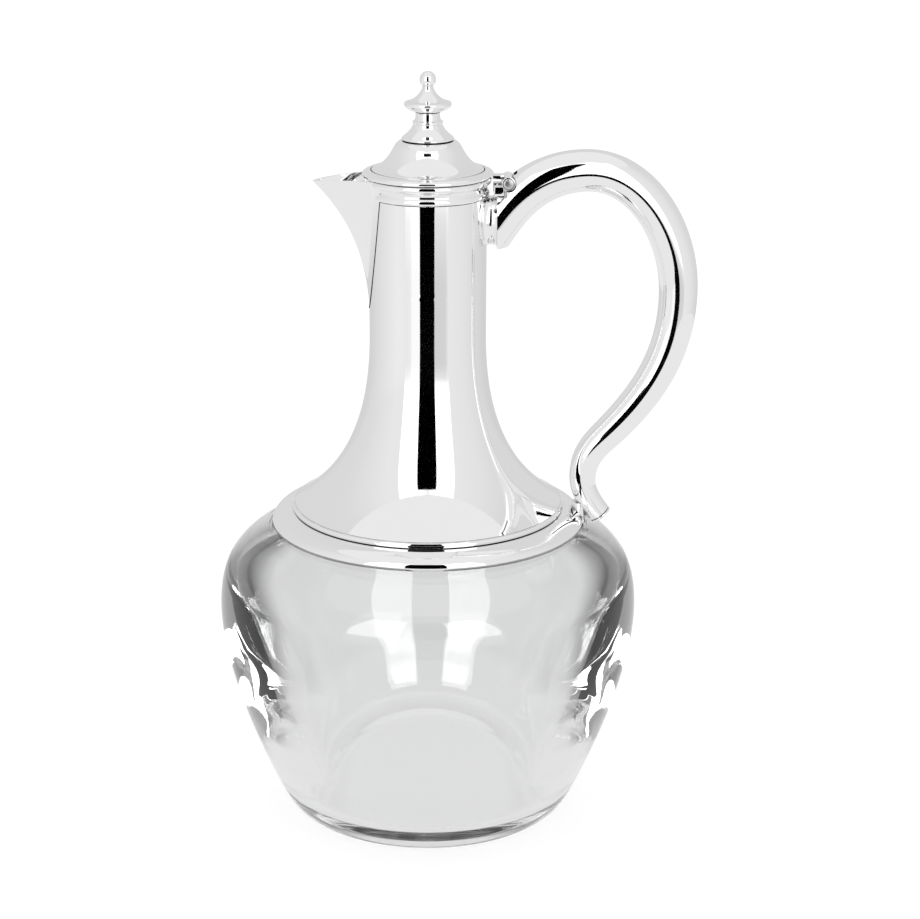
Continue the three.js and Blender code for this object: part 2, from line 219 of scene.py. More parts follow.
def lathe(name, points, segments=SEGMENTS):
    """A closed outline of (radius, height) turned about Z."""
    angles = np.linspace(0, 2 * math.pi, segments, endpoint=False)
    radii, heights = points[:, 0], points[:, 1]
    vertices = np.stack(
        [
            np.outer(radii, np.cos(angles)),
            np.outer(radii, np.sin(angles)),
            np.repeat(heights[:, None], segments, axis=1),
        ],
        axis=2,
    )
    on_axis = points[0][0] == 0
    return mesh_object(name, vertices, quads(len(points), segments, not on_axis, True))


def lathe_across(name, points, x, z, segments=64):
    """A closed outline of (radius, distance) turned about a line along Y through (x, z)."""
    made = lathe(name, points, segments)
    turn = Matrix.Rotation(math.radians(-90), 4, "X")
    made.data.transform(Matrix.Translation((x * MM, 0, z * MM)) @ turn)
    return made


def shell(name, outer, inner):
    """A closed skin between two grids of points of the same shape."""
    rows, columns = outer.shape[:2]
    size = rows * columns
    faces = quads(rows, columns) + [face[::-1] for face in quads(rows, columns, start=size)]
    loose_ends = np.linalg.norm(outer[:, 0] - outer[:, -1], axis=1) > 0.01
    for row in range(rows - 1):
        if loose_ends[row] or loose_ends[row + 1]:
            for column in (0, columns - 1):
                here = row * columns + column
                above = here + columns
                faces.append((here, above, above + size, here + size))
    for column in range(columns - 1):
        for row in (0, rows - 1):
            here = row * columns + column
            faces.append((here, here + 1, here + 1 + size, here + size))
    return mesh_object(name, np.concatenate([outer.reshape(-1, 3), inner.reshape(-1, 3)]), faces)


def loft(name, rings):
    """A skin through closed rings, with a flat cap at each end."""
    rings = np.asarray(rings, float)
    count, sides = rings.shape[:2]
    faces = quads(count, sides, False, True)
    faces.append(tuple(range(sides)))
    faces.append(tuple(range((count - 1) * sides, count * sides)))
    return mesh_object(name, rings, faces)


def block(name, lowest, highest):
    """A box between two corners."""
    x0, y0, z0 = lowest
    x1, y1, z1 = highest
    ring = [(x0, y0), (x1, y0), (x1, y1), (x0, y1)]
    return loft(name, [[(x, y, z) for x, y in ring] for z in (z0, z1)])


def apply_modifiers(made):
    """Keeps the shape that the object's modifiers give, and removes the modifiers."""
    graph = bpy.context.evaluated_depsgraph_get()
    result = bpy.data.meshes.new_from_object(made.evaluated_get(graph))
    made.modifiers.clear()
    made.data = result


def combine(made, others, operation):
    """Cuts the other solids from made, or adds them to it, and removes them."""
    for other in others:
        step = made.modifiers.new("step", "BOOLEAN")
        step.operation = operation
        step.solver = "EXACT"
        step.object = other
    apply_modifiers(made)
    for other in others:
        bpy.data.objects.remove(other)
    smooth(made)


def bevel(made, width, steps=3):
    """Rounds the crisp edges of a solid."""
    step = made.modifiers.new("bevel", "BEVEL")
    step.width = width * MM
    step.segments = steps
    step.limit_method = "ANGLE"
    step.angle_limit = math.radians(40)
    apply_modifiers(made)
    smooth(made, 50)


# ---- material nodes ----
def new_material(name):
    """A material with its node tree and its one shader."""
    material = bpy.data.materials.new(name)
    material.use_nodes = True
    shader = material.node_tree.nodes["Principled BSDF"]
    return material, material.node_tree, shader


def noise(tree, scale, detail=4, stretch=(1, 1, 1)):
    """A noise texture in object space, drawn out along one or two directions."""
    coordinates = tree.nodes.new("ShaderNodeTexCoord")
    mapping = tree.nodes.new("ShaderNodeMapping")
    mapping.inputs["Scale"].default_value = stretch
    texture = tree.nodes.new("ShaderNodeTexNoise")
    texture.inputs["Scale"].default_value = scale
    texture.inputs["Detail"].default_value = detail
    tree.links.new(coordinates.outputs["Object"], mapping.inputs["Vector"])
    tree.links.new(mapping.outputs["Vector"], texture.inputs["Vector"])
    return texture.outputs["Fac"]


def remap(tree, value, from_low, from_high, to_low, to_high):
    """Stretches a range of values onto another, and holds it at both ends."""
    node = tree.nodes.new("ShaderNodeMapRange")
    node.inputs["From Min"].default_value = from_low
    node.inputs["From Max"].default_value = from_high
    node.inputs["To Min"].default_value = to_low
    node.inputs["To Max"].default_value = to_high
    tree.links.new(value, node.inputs["Value"])
    return node.outputs["Result"]


def blend_colours(tree, amount, first, second):
    """The first colour at 0, the second at 1."""
    node = tree.nodes.new("ShaderNodeMix")
    node.data_type = "RGBA"
    node.inputs["A"].default_value = (*first, 1)
    node.inputs["B"].default_value = (*second, 1)
    tree.links.new(amount, node.inputs["Factor"])
    return node.outputs["Result"]


def bump(tree, shader, height, strength, distance):
    """Relief in the shading; the distance is in metres."""
    node = tree.nodes.new("ShaderNodeBump")
    node.inputs["Strength"].default_value = strength
    node.inputs["Distance"].default_value = distance
    tree.links.new(height, node.inputs["Height"])
    tree.links.new(node.outputs["Normal"], shader.inputs["Normal"])


def join_values(tree, first, second, operation="ADD"):
    """The sum of two values, or what another operation makes of them."""
    node = tree.nodes.new("ShaderNodeMath")
    node.operation = operation
    tree.links.new(first, node.inputs[0])
    tree.links.new(second, node.inputs[1])
    return node.outputs["Value"]


def polished_silver(name, roughness, stretch, tarnish=0.3):
    """Hand-polished silver: clouded gloss, hair scratches along the polishing, tarnish in its hollows,
    and painted shade darkening tight corners and gaps.
    """
    material, tree, shader = new_material(name)
    shader.inputs["Metallic"].default_value = 1
    geometry = tree.nodes.new("ShaderNodeNewGeometry")
    hollow = remap(tree, geometry.outputs["Pointiness"], 0.5, 0.42, 0, tarnish)
    # painted shade: ambient occlusion darkens the silver's colour within 3 mm of other surfaces, in
    # tight gaps and under overhangs where shade falls
    occlusion_shade_node = tree.nodes.new("ShaderNodeAmbientOcclusion")
    occlusion_shade_node.inputs["Distance"].default_value = 3 * MM
    occlusion_shade_node.samples = 6
    painted_shade = remap(tree, occlusion_shade_node.outputs["AO"], 0.6, 0.15, 0, 1)
    # the dark blend is partly tarnish in the hollows (pointiness) and partly painted shade in occluded
    # gaps
    corner = join_values(tree, hollow, painted_shade, "MAXIMUM")
    bright = (0.95, 0.95, 0.95)
    tarnish_and_shade_colour = (0.14, 0.14, 0.14)
    tree.links.new(blend_colours(tree, corner, bright, tarnish_and_shade_colour), shader.inputs["Base Color"])
    clouds = remap(tree, noise(tree, 38, 5), 0.35, 0.7, roughness, roughness * 2.2)
    scratches = remap(tree, noise(tree, 260, 2, stretch), 0.62, 0.8, 0, 0.05)
    tree.links.new(join_values(tree, clouds, scratches), shader.inputs["Roughness"])
    bump(tree, shader, noise(tree, 260, 2, stretch), 0.02, 0.0001)
    return material


def clear_glass():
    """Clear hand-finished glass with a faint grey body colour, light wear and slight waves."""
    material, tree, shader = new_material("clear_glass")
    shader.inputs["Base Color"].default_value = (0.985, 0.99, 0.988, 1)
    shader.inputs["Transmission Weight"].default_value = 1
    shader.inputs["IOR"].default_value = 1.52
    wear = remap(tree, noise(tree, 90, 6), 0.6, 0.8, 0.0, 0.01)
    tree.links.new(wear, shader.inputs["Roughness"])
    bump(tree, shader, noise(tree, 16, 1), 0.03, 0.001)
    return material


def plaster():
    """Cast plaster: pale, matt, with pits and uneven tone."""
    material, tree, shader = new_material("plaster_cement")
    tone = remap(tree, noise(tree, 120, 8), 0.3, 0.7, 0, 1)
    colour = blend_colours(tree, tone, (0.78, 0.76, 0.71), (0.9, 0.89, 0.85))
    tree.links.new(colour, shader.inputs["Base Color"])
    shader.inputs["Roughness"].default_value = 0.9
    bump(tree, shader, noise(tree, 700, 6), 0.3, 0.0004)
    return material


def seal():
    """Pale rubber with a moulded grain."""
    material, tree, shader = new_material("seal_rubber")
    tone = remap(tree, noise(tree, 300, 4), 0.3, 0.7, 0, 1)
    colour = blend_colours(tree, tone, (0.68, 0.67, 0.64), (0.78, 0.77, 0.74))
    tree.links.new(colour, shader.inputs["Base Color"])
    shader.inputs["Roughness"].default_value = 0.6
    bump(tree, shader, noise(tree, 1500, 3), 0.2, 0.0001)
    return material


def turned_steel():
    """Turned steel with fine tool rings."""
    material, tree, shader = new_material("fastener_steel")
    shader.inputs["Metallic"].default_value = 1
    shader.inputs["Base Color"].default_value = (0.6, 0.6, 0.61, 1)
    rings = remap(tree, noise(tree, 900, 3, (1, 1, 4)), 0.3, 0.7, 0.2, 0.4)
    tree.links.new(rings, shader.inputs["Roughness"])
    bump(tree, shader, noise(tree, 1800, 2, (1, 1, 4)), 0.15, 0.00005)
    return material


SPUN = (1, 1, 30)  # scratches that run round the jug
DRAWN = (12, 12, 1)  # scratches that run up and down
MATERIALS = {
    "sleeve": polished_silver("silver_spun_neck", 0.02, SPUN),
    "mount": polished_silver("silver_mount", 0.025, SPUN),
    "drawn": polished_silver("silver_drawn", 0.025, DRAWN),
    "cast": polished_silver("silver_cast", 0.03, SPUN, 0.5),
    "glass": clear_glass(),
    "plaster": plaster(),
    "seal": seal(),
    "steel": turned_steel(),
}


def place(made, body, material, *nodes):
    """Gives a piece its material, ties it to its body and hides the CAD nodes it stands for."""
    made.data.materials.clear()
    made.data.materials.append(MATERIALS[material])
    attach(made, body)
    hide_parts(*nodes)
    return made


# ---- glass body ----
def glass_outside():
    """The blown body seen from outside: ground base, heel, belly and shoulder."""
    return outline(
        (0, FOOT_HOLLOW),
        bezier((30, FOOT_HOLLOW), (35, FOOT_HOLLOW), (37, 0), (39, 0), 6),
        bezier((42, 0), (47.6, 0), (50.6, 2.6), (53.4, 7), 16),
        bezier((53.4, 7), (61.5, 23), (BELLY_RADIUS, 56), (BELLY_RADIUS, 78), 40),
        bezier((BELLY_RADIUS, 78), (BELLY_RADIUS, 93), (70.5, 101.4), (55.7, 107.5), 30),
    )


def hidden_shoulder():
    """The shoulder and neck of the glass that the silver covers."""
    return bezier((55.7, 107.5), (42, 113.7), (19.5, 124), (GLASS_NECK_RADIUS, 150), 24)


def glass_body():
    """The hollow glass, thick at the bottom, with a rounded lip inside the silver neck."""
    lip = 1.4
    bore = GLASS_NECK_RADIUS - 2 * lip
    neck_end = GLASS_NECK_TOP - lip
    arch = neck_end + (GLASS_NECK_TOP - neck_end) * 4 / 3
    inside = outline(
        bezier((bore, 150), (bore, 128), (36, 112.5), (53, 103.4), 24),
        bezier((53, 103.4), (62.5, 98.2), (69.2, 94.5), (69.2, 86), 24),
        bezier((69.2, 86), (69.2, 71), (61, 50), (50, 27), 30),
        bezier((50, 27), (46, 18.5), (45, FLOOR_TOP), (38.5, FLOOR_TOP), 24),
        (0, FLOOR_TOP),
    )
    neck = GLASS_NECK_RADIUS
    lip_arc = bezier((neck, neck_end), (neck, arch), (bore, arch), (bore, neck_end), 10)
    points = outline(glass_outside(), hidden_shoulder(), lip_arc, inside)
    made = lathe("jug_glass", points, FINE_SEGMENTS)
    place(made, "jug", "glass", "glass_body")


# ---- neck sleeve and spout ----
def open_ring(radius, height, half_opening, columns):
    """Points round the jug at one height, from one side of the spout's opening to the other."""
    angles = np.linspace(half_opening, 2 * math.pi - half_opening, columns + 1)
    return np.column_stack([
        -radius * np.cos(angles),
        radius * np.sin(angles),
        np.full(columns + 1, height),
    ])


def nose_point(progress):
    """The spout's centre line, from its foot on the neck to its tip."""
    foot = (-NECK_RADIUS + 0.1, SPOUT_FOOT)
    return on_curve(foot, (-21.6, 203), (-25.2, 217.5), (TIP_X, TIP_Z), progress)


def seam_angle(rise):
    """Half the angle that the spout takes up on the neck, at a share of its height."""
    return math.radians(SPOUT_HALF_ANGLE) * max(rise, 0.0) ** 0.45


def spout_level(progress, inset, cheek_steps):
    """One level of the spout: from the neck along a cheek, round the nose and back to the neck."""
    nose = nose_point(progress)
    rise = (nose[1] - SPOUT_FOOT) / (TIP_Z - SPOUT_FOOT)
    seam_height = SPOUT_FOOT + (RIM_TOP - 0.2 - SPOUT_FOOT) * rise
    seam_y = max(NECK_RADIUS * math.sin(seam_angle(max(rise, 0.004))) - inset * 1.3, 0.2)
    seam_x = -math.sqrt((NECK_RADIUS + SEAM_STEP) ** 2 - seam_y**2) + inset
    nose_x = nose[0] + inset * 1.25
    depth = seam_x - nose_x
    cheek = bezier(
        (seam_x, seam_y),
        (seam_x - 0.25 * depth, 0.63 * seam_y),
        (nose_x + 0.05 * depth, 0.34 * seam_y),
        (nose_x, 0),
        cheek_steps,
    )
    plan = np.concatenate([cheek, (cheek * (1, -1))[-2::-1]])
    along = np.clip((plan[:, 0] - seam_x) / (nose_x - seam_x), 0, 1)
    heights = seam_height + (nose[1] - seam_height) * along**2.5
    return np.column_stack([plan, heights])


def spout():
    """A raised beak whose hollow starts a little above its foot."""
    levels, cheek_steps = 57, 26
    outer = np.array([spout_level(part, 0, cheek_steps) for part in np.linspace(0.002, 1, levels)])
    inner = np.array([spout_level(part, SHEET, cheek_steps) for part in np.linspace(0.12, 1, levels)])
    place(shell("spout_beak", outer, inner), "jug", "drawn", "spout")


def flare_line(steps):
    """The outside of the flared shoulder, from its edge on the collar up to the straight neck."""
    edge = (FLARE_RADIUS, FLARE_HEIGHT)
    return bezier(edge, (28, 129), (NECK_RADIUS, 150), (NECK_RADIUS, FLARE_TOP), steps)


def neck_sleeve():
    """The spun neck with its flared shoulder, open behind the spout."""
    straight = [(NECK_RADIUS, z) for z in np.linspace(FLARE_TOP, RIM_HEIGHT, 50)]
    outside = outline(flare_line(70), straight)
    inside = offset(outside, -SHEET)
    inside[:, 1] = np.minimum(inside[:, 1], RIM_HEIGHT)
    hole_foot = SPOUT_FOOT + 8  # the hole behind the spout starts a little above the spout's foot
    hole_share = 0.92  # and is a little narrower than the spout
    grids = []
    for profile in (outside, inside):
        rows = []
        for radius, height in profile:
            rise = (height - hole_foot) / (TIP_Z - SPOUT_FOOT)
            rows.append(open_ring(radius, height, seam_angle(rise) * hole_share, 180))
        grids.append(np.array(rows))
    sleeve = shell("neck_spun", *grids)
    edge = rounded(outline(
        (FLARE_RADIUS - 0.9, FLARE_HEIGHT + 0.1),
        (FLARE_RADIUS - 0.6, BAND_TOP + 0.15),
        (FLARE_RADIUS + 0.9, BAND_TOP - 0.1),
        (FLARE_RADIUS + 1.2, FLARE_HEIGHT - 0.9),
        (FLARE_RADIUS + 0.8, FLARE_HEIGHT - 0.3),
    ), FINE)
    bead = lathe("sleeve_edge", edge)
    combine(sleeve, [bead], "UNION")
    place(sleeve, "jug", "sleeve", "neck_sleeve")


# ---- rim moulding ----
def cheek_angle(radius):
    """The angle from the spout's centre at which its cheek is this far from the jug's axis."""
    steps = 80
    level = spout_level(1, 0, steps)[:steps + 1]
    distance = np.hypot(level[:, 0], level[:, 1])
    angles = np.arctan2(level[:, 1], -level[:, 0])
    return float(np.interp(max(radius, NECK_RADIUS), distance, angles))


def rim_moulding():
    """Two beads with a hollow between, ending on the cheeks of the spout."""
    base = RIM_HEIGHT + GAP
    inner = NECK_RADIUS - SHEET
    face = outline(
        (20.8, base),
        bezier((21.15, base + 0.1), (21.5, base + 0.5), (21.5, base + 1.4), (21.05, base + 1.9), 8),
        bezier((20.75, base + 2.3), (20.6, base + 3), (20.75, base + 3.7), (21.15, base + 4.2), 8),
        bezier((21.5, base + 4.4), (22.3, base + 4.8), (22.3, base + 6.1), (21.6, RIM_TOP), 12),
    )
    points = rounded(outline(face, (inner, RIM_TOP), (inner, base)), FINE)
    tuck = 0.01  # radians by which the ends reach into the cheeks
    rows = [open_ring(radius, height, cheek_angle(radius) - tuck, 200) for radius, height in points]
    sides = np.array(rows).transpose(1, 0, 2)
    place(loft("rim_beads", sides), "jug", "mount", "rim_moulding")


# ---- collar ----
def band_line():
    """The outside of the collar band, from its lower edge up to the flared shoulder."""
    edge = (COLLAR_RADIUS, COLLAR_HEIGHT + 1.2)
    return bezier(edge, (55.5, 112.2), (51.8, 113.7), (46.6, BAND_TOP), 24)


def collar_band():
    """A spun band over the joint between glass and silver."""
    outside = outline((COLLAR_RADIUS - 0.2, COLLAR_HEIGHT), band_line())
    points = outline(outside, offset(outside, -BAND_THICKNESS)[::-1])
    place(lathe("collar_spun", rounded(points, FINE), FINE_SEGMENTS), "jug", "mount", "collar_band")


def shoulder_cement():
    """Plaster between the glass shoulder and the silver over it."""
    under_band = offset(offset(band_line(), -BAND_THICKNESS), -GAP)
    under_band = under_band[under_band[:, 0] < 54.6]
    under_silver = offset(flare_line(40), -SHEET - GAP)
    under_silver = under_silver[(under_silver[:, 1] < 152) & (under_silver[:, 0] < 44)]
    on_glass = offset(hidden_shoulder(), GAP)
    on_glass = on_glass[(on_glass[:, 0] < 54) & (on_glass[:, 1] < 149)]
    top = under_silver[-1][1]
    points = outline(under_band, under_silver, (GLASS_NECK_RADIUS + GAP, top), on_glass[::-1])
    place(lathe("cement_ring", rounded(points, SOFT)), "jug", "plaster", "shoulder_cement")


def neck_seal():
    """A rubber sleeve with three raised rings between glass neck and silver neck."""
    bottom, top = low("neck_seal", "z"), high("neck_seal", "z")
    inner = GLASS_NECK_RADIUS + GAP
    outer = NECK_RADIUS - SHEET - GAP
    heights = np.linspace(bottom, top, 61)
    ribs = outer - 0.12 + 0.12 * np.cos((heights - bottom) / (top - bottom) * 6 * math.pi)
    points = outline((inner, bottom), np.column_stack([ribs, heights]), (inner, top))
    place(lathe("seal_ribbed", rounded(points, FINE)), "jug", "seal", "neck_seal")


# ---- handle ----
HANDLE_TURNS = (
    ((23.7, 217.1), (31.3, 228.8), (41.7, 235.9), (55.7, 235.9)),
    ((55.7, 235.9), (73.4, 235.9), (87.8, 215), (87.8, 193)),
    ((87.8, 193), (87.8, 169), (77, 153.4), (60.8, 137.8)),
    ((60.8, 137.8), (57, 133.7), (55.3, 129.5), (55.3, 124)),
    ((55.3, 124), (55.3, 119.5), (58.4, 115), (61.75, 111.1)),
)
HANDLE_RADII = (8.1, 7.25, 6.8, 5.75, 4.5, 4.1)


def eased(values, passes):
    """Irons out the joints between curves, with both ends held."""
    values = values.copy()
    for _ in range(passes):
        values[1:-1] = (values[:-2] + 2 * values[1:-1] + values[2:]) / 4
    return values


def handle_line():
    """Centres (x, z) and radii along the handle, about a millimetre apart."""
    centres, radii = [], []
    for index, turn in enumerate(HANDLE_TURNS):
        steps = 60
        curve = bezier(*turn, steps)
        shares = np.linspace(HANDLE_RADII[index], HANDLE_RADII[index + 1], steps + 1)
        centres.append(curve if index == 0 else curve[1:])
        radii.append(shares if index == 0 else shares[1:])
    centres, radii = np.vstack(centres), np.concatenate(radii)
    length = np.concatenate([[0], np.cumsum(np.linalg.norm(np.diff(centres, axis=0), axis=1))])
    even = np.linspace(0, length[-1], int(length[-1]))
    centres = np.column_stack([np.interp(even, length, centres[:, axis]) for axis in (0, 1)])
    radii = np.interp(even, length, radii)
    return eased(centres, 12), eased(radii, 200)


def tube_rings(centres, radii, sides=64):
    """Circles of points square to a line in the plane of X and Z."""
    angles = np.linspace(0, 2 * math.pi, sides, endpoint=False)
    along = np.gradient(centres, axis=0)
    along /= np.linalg.norm(along, axis=1)[:, None]
    rings = []
    for centre, direction, radius in zip(centres, along, radii):
        across = radius * np.cos(angles)
        rise = radius * np.sin(angles)
        rings.append(np.column_stack([
            centre[0] - rise * direction[1],
            across,
            centre[1] + rise * direction[0],
        ]))
    return rings


def handle():
    """The tapering tube, cut flat against its socket and hollowed for the hinge and the lid's leaf."""
    centres, radii = handle_line()
    first = centres[1] - centres[0]
    first /= np.linalg.norm(first)
    lead_length = 14
    lead = centres[0] - lead_length * first
    rings = tube_rings(np.vstack([lead, centres]), np.concatenate([radii[:1], radii]))
    tube = loft("handle_drawn", rings)
    # the blocks differ a little in size, so that no two of their faces lie in one plane
    wide, deep, tall = 20, 180, 250
    slot = LEAF_HALF_WIDTH + GAP
    notch_radius = KNUCKLE_RADIUS + GAP
    notch = outline((0, -wide), (notch_radius, -wide), (notch_radius, wide), (0, wide))
    cutters = [
        block("side", (-wide, -wide, deep), (HANDLE_CUT_X, wide, tall)),
        block("under", (1 - wide, 1 - wide, deep - 1), (UNDERCUT_X, wide - 1, SOCKET_BOTTOM)),
        block("above", (0.5 - wide, 0.5 - wide, SOCKET_TOP), (HINGE_X - 2 * GAP, wide - 0.5, tall + 1)),
        block("leaf_slot", (wide, -slot, HINGE_Z), (HINGE_X + LEAF_SLOT, slot, tall + 2)),
        lathe_across("notch", notch, HINGE_X, HINGE_Z),
    ]
    combine(tube, cutters, "DIFFERENCE")
    place(tube, "jug", "drawn", "handle_tube")
    end_cap(centres, radii)


def end_cap(centres, radii):
    """The plate that closes the lower end of the tube."""
    direction = centres[-1] - centres[-2]
    direction /= np.linalg.norm(direction)
    radius = radii[-1]
    far = GAP + SHEET
    points = outline((0, GAP), (radius, GAP), (radius, far), (0, far))
    made = lathe("handle_cap", rounded(points, 0.3), segments=64)
    turn = Vector((0, 0, 1)).rotation_difference(Vector((direction[0], 0, direction[1])))
    end = Vector((centres[-1][0], 0, centres[-1][1])) * MM
    made.data.transform(Matrix.Translation(end) @ turn.to_matrix().to_4x4())
    place(made, "jug", "drawn", "handle_end_cap")


def handle_socket():
    """A waisted boss from the neck to the upper end of the handle."""
    middle = (SOCKET_TOP + SOCKET_BOTTOM) / 2
    half_height = (SOCKET_TOP - SOCKET_BOTTOM) / 2
    half_width = high("handle_socket", "y")
    waist_width, waist_height = 0.1, 0.05  # how far the middle draws in
    angles = np.linspace(0, 2 * math.pi, 72, endpoint=False)
    far = HANDLE_CUT_X - 0.1
    rings = []
    for part in np.linspace(0, 1, 15):
        swing = math.sin(math.pi * part)
        width = half_width * (1 - waist_width * swing)
        height = half_height * (1 - waist_height * swing)
        y = width * np.cos(angles)
        near = np.sqrt((NECK_RADIUS - 0.2) ** 2 - y**2)
        x = near + (far - near) * part
        rings.append(np.column_stack([x, y, middle + height * np.sin(angles)]))
    place(loft("socket_boss", rings), "jug", "cast", "handle_socket")


def foot_pad():
    """A small pad of solder and silver under the foot of the handle."""
    lowest, highest = (np.array(corner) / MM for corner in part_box("handle_foot_pad"))
    centre = (lowest + highest) / 2
    half = (highest - lowest) / 2
    waist = 0.14  # how far the middle draws in
    band_slope = 0.45  # the pad's lower end follows the band it stands on
    angles = np.linspace(0, 2 * math.pi, 48, endpoint=False)
    rings = []
    for part in np.linspace(0, 1, 9):
        width = 1 - waist * math.sin(math.pi * part)
        x = centre[0] + half[0] * width * np.cos(angles)
        y = centre[1] + half[1] * width * np.sin(angles)
        z = lowest[2] + (highest[2] - lowest[2]) * part - band_slope * (x - centre[0]) * (1 - part)
        rings.append(np.column_stack([x, y, np.clip(z, lowest[2], highest[2])]))
    place(loft("foot_pad_cast", rings), "jug", "cast", "handle_foot_pad")


# ---- hinge ----
def barrel(name, start, end):
    """A hollow cylinder round the hinge line."""
    bore = PIN_RADIUS + GAP
    points = outline((bore, start), (KNUCKLE_RADIUS, start), (KNUCKLE_RADIUS, end), (bore, end))
    return lathe_across(name, rounded(points, 0.3), HINGE_X, HINGE_Z)


def fixed_knuckle(side):
    """A knuckle in the scalloped end of the handle, with a small web that fills in towards the mount."""
    node = f"hinge_knuckle_{side}"
    start, end = low(node, "y"), high(node, "y")
    knuckle = barrel(f"knuckle_{side}", start, end)
    inset = 0.1  # the web stops short of the knuckle's ends
    near_corner = (MOULDING_RADIUS + 2 * GAP, start + inset, SOCKET_TOP + GAP)
    far_corner = (HINGE_X - 1.4, end - inset, HINGE_Z - 0.9)
    web = block("web", near_corner, far_corner)
    bevel(web, 0.4)
    combine(knuckle, [web], "UNION")
    place(knuckle, "jug", "cast", node)


def hinge_pin():
    """A pin with a low rivet head at each end."""
    end = high("hinge_pin", "y")
    start = high("hinge_knuckle_back", "y") + 0.03
    head_radius = 1.9
    head = bezier((head_radius, start), (head_radius, start + 0.3), (1.2, end), (0, end), 10)
    points = outline(head[::-1] * (1, -1), (PIN_RADIUS, -start), (PIN_RADIUS, start), head)
    place(lathe_across("pin", points, HINGE_X, HINGE_Z), "jug", "steel", "hinge_pin")


def lid_knuckle():
    """The lid's knuckle with the leaf that joins it to the flange."""
    knuckle = barrel("lid_knuckle", -LEAF_HALF_WIDTH, LEAF_HALF_WIDTH)
    leaf_top = HINGE_Z + KNUCKLE_RADIUS
    near_corner = (MOULDING_RADIUS + GAP, -LEAF_HALF_WIDTH, leaf_top - LEAF_THICKNESS)
    far_corner = (HINGE_X - 1.3, LEAF_HALF_WIDTH, leaf_top)
    leaf = block("leaf", near_corner, far_corner)
    bevel(leaf, 0.2)
    combine(knuckle, [leaf], "UNION")
    place(knuckle, "lid", "cast", "lid_hinge_knuckle")


# ---- lid ----
def lid_flange():
    """The rounded wire that stiffens the lid's edge."""
    base = LID_HEIGHT
    edge = LID_RADIUS + 0.1
    points = outline(
        (19.8, base),
        (22.2, base),
        bezier((22.6, base + 0.1), (edge, base + 0.4), (edge, base + 1), (22.3, base + 1.4), 10),
        bezier((22.1, base + 1.5), (21.4, base + 1.8), (20.8, base + 2), (20, base + 2.1), 6),
        (19.8, base + 2.1),
    )
    place(lathe("lid_flange", rounded(points, FINE), FINE_SEGMENTS), "lid", "mount", "lid_rim")


def lid_dome():
    """The raised sheet inside the flange: a long hollow curve, then a shoulder under the finial."""
    base = LID_HEIGHT
    hole = STUD_RADIUS + 0.5
    points = outline(
        (19.5, base + 0.2),
        (19.5, base + 2.2),
        bezier((19.3, base + 2.3), (16.2, base + 3.3), (14.1, base + 5.6), (12.4, base + 8.6), 26),
        bezier((12.4, base + 8.6), (11.3, base + 10.8), (10.6, base + 12), (8.6, DOME_TOP), 20),
        (hole, DOME_TOP),
        (hole, DOME_TOP - DOME_SHEET),
        (8.5, DOME_TOP - 1),
        bezier((11.4, base + 8.4), (13, base + 5.4), (15.4, base + 2.4), (18.4, base + 1.5), 20),
        (18.4, base + 0.2),
    )
    place(lathe("lid_raised", rounded(points, FINE), FINE_SEGMENTS), "lid", "mount", "lid_dome")


def lid_bezel():
    """The thin ring that drops inside the neck."""
    bottom, top = low("lid_bezel", "z"), high("lid_bezel", "z")
    outer = high("lid_bezel", "x")
    inner = outer - SHEET
    points = outline((inner, bottom), (outer, bottom), (outer, top), (inner, top))
    place(lathe("lid_bezel_ring", rounded(points, 0.3)), "lid", "mount", "lid_bezel")


# ---- finial ----
def finial_pedestal():
    """The trumpet-shaped foot of the finial, with a small bead near its top."""
    base = DOME_TOP + GAP
    hole = STUD_RADIUS + GAP
    points = outline(
        (hole, base),
        (9.1, base),
        (9.1, base + 0.4),
        bezier((8.8, base + 0.8), (6.9, base + 2.2), (5.6, base + 3.6), (5, base + 5.3), 16),
        bezier((5.2, base + 5.6), (5.4, base + 5.9), (5.3, base + 6.2), (4.9, base + 6.4), 5),
        bezier((4.6, base + 6.6), (4.3, base + 7.2), (4.2, base + 7.9), (4.2, PEDESTAL_TOP - 0.4), 6),
        (4.4, PEDESTAL_TOP),
        (hole, PEDESTAL_TOP),
    )
    made = lathe("finial_foot", rounded(points, FINE), segments=128)
    place(made, "lid", "cast", "finial_pedestal")


def finial():
    """The turned disc, neck and ball, with the stud that runs down through the dome."""
    base = PEDESTAL_TOP + GAP
    stud_bottom = low("finial", "z")
    ball_radius = 2.85
    ball_centre = FINIAL_TOP - ball_radius
    swing = np.radians(np.linspace(-50, 90, 28))
    ball = np.column_stack([ball_radius * np.cos(swing), ball_centre + ball_radius * np.sin(swing)])
    ball[-1][0] = 0
    points = outline(
        (0, stud_bottom),
        (STUD_RADIUS, stud_bottom),
        (STUD_RADIUS, base),
        (4.4, base),
        bezier((5.2, base + 0.1), (6.6, base + 0.5), (8.2, base + 1.5), (8.2, base + 2.6), 14),
        bezier((8.2, base + 2.8), (8.1, base + 3.2), (7.6, base + 3.3), (7, base + 3.4), 5),
        bezier((6.6, base + 3.5), (4.4, base + 4.4), (2.9, base + 5.8), (1.95, base + 7.9), 16),
        ball,
    )
    made = lathe("finial_turned", rounded(points, FINE), segments=128)
    place(made, "lid", "cast", "finial")


def washer():
    """A flat washer between the dome and the nut."""
    inner, outer = STUD_RADIUS + GAP, high("finial_washer", "x")
    base, top = low("finial_washer", "z"), high("finial_washer", "z")
    points = outline((inner, base), (outer, base), (outer, top), (inner, top))
    made = lathe("washer", rounded(points, 0.15), segments=64)
    place(made, "lid", "steel", "finial_washer")


